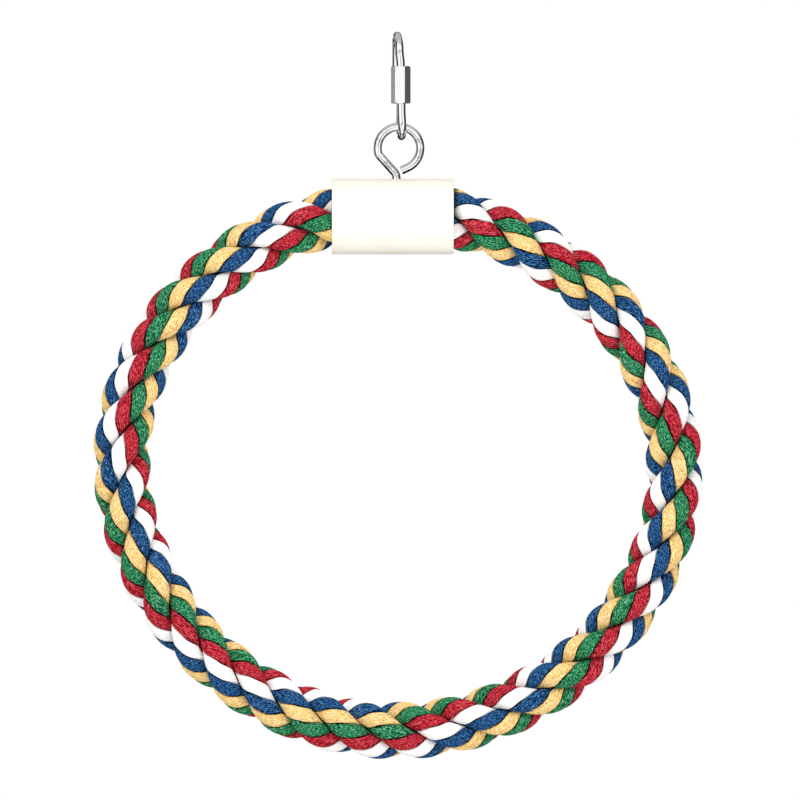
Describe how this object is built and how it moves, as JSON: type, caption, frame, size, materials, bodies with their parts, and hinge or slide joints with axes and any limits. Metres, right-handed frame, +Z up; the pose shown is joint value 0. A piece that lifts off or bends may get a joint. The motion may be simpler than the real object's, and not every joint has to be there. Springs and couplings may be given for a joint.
{
  "type": "bird swing",
  "caption": "Hanging rope hoop swing for a cage bird: laid cotton rope on a wire core, ends joined in a plastic sleeve, hung by a screw eye and a quick link.",
  "frame": {"origin": "inside of the quick link's top bend, where the swing hangs", "axes": "+X to the viewer's right and +Z up, both in the hoop's plane; +Y to the back, square to the hoop"},
  "size_m": [0.2023, 0.0252, 0.2419],
  "materials": {
    "link_steel": "bright zinc plate",
    "nut_steel": "bright zinc plate",
    "eye_steel": "bright nickel plate",
    "sleeve_plastic": "smooth, slightly glossy off-white",
    "plug_wood": "plain turned softwood",
    "core_steel": "drawn wire",
    "rope_cotton": "laid cotton in blue, white, red, green and tan yarn bundles",
    "tape": "cotton cloth tape",
    "glue": "set hot-melt glue"
  },
  "bodies": {
    "quick_link": {"link_body": "link_steel"},
    "nut": {"link_nut": "nut_steel"},
    "swing": {"eye_screw": "eye_steel", "sleeve": "sleeve_plastic", "anchor_plug": "plug_wood", "core_wire": "core_steel", "strand_a": "rope_cotton", "strand_b": "rope_cotton", "strand_c": "rope_cotton", "tape_wrap_left": "tape", "tape_wrap_right": "tape", "glue_ring_left": "glue", "glue_ring_right": "glue"}
  },
  "joints": [
    {"name": "nut_travel", "type": "slide", "parent": "quick_link", "child": "nut", "axis": [-0.0436, 0, 0.999], "range_m": [0, 0.0055]},
    {"name": "eye_swing", "type": "hinge", "parent": "quick_link", "child": "swing", "pos_m": [0.00139, 0, -0.03192], "axis": [-0.0697, 0.9976, -0.003], "range_deg": [-75, 75]}
  ]
}
